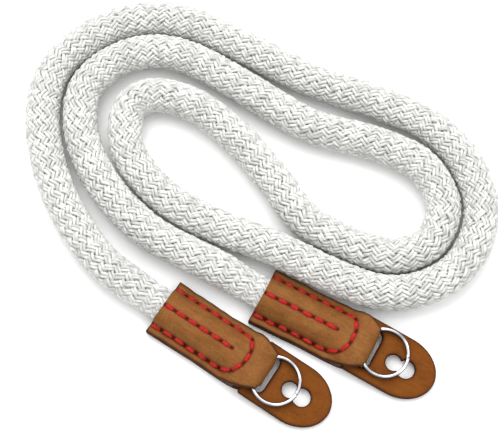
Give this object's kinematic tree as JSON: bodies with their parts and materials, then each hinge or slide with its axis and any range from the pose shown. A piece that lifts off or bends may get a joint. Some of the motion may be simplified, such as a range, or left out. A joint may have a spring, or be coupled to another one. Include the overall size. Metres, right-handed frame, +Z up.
{
  "type": "camera neck strap",
  "caption": "Camera neck strap of thick braided white rope with stitched tan leather ends, split rings and leather ring protectors, laid in a flat open spiral.",
  "frame": {"origin": "bottom centre of the box around the leather ends and rings, on the surface the strap lies on", "axes": "+Z up from that surface; +X and +Y lie in it, with the leather ends at the front (-Y) pointing towards +X"},
  "size_m": [0.1585, 0.1482, 0.012],
  "materials": {
    "rope": "matt braided cord",
    "tan_leather": "waxed, dark burnished edges, red stitching",
    "brown_leather": "smooth, dark burnished edges",
    "polished_steel": "polished nickel plate"
  },
  "bodies": {
    "root": {"rope": "rope", "sheath_a": "tan_leather", "protector_a": "brown_leather", "ring_a": "polished_steel", "sheath_b": "tan_leather", "protector_b": "brown_leather", "ring_b": "polished_steel"}
  },
  "joints": []
}
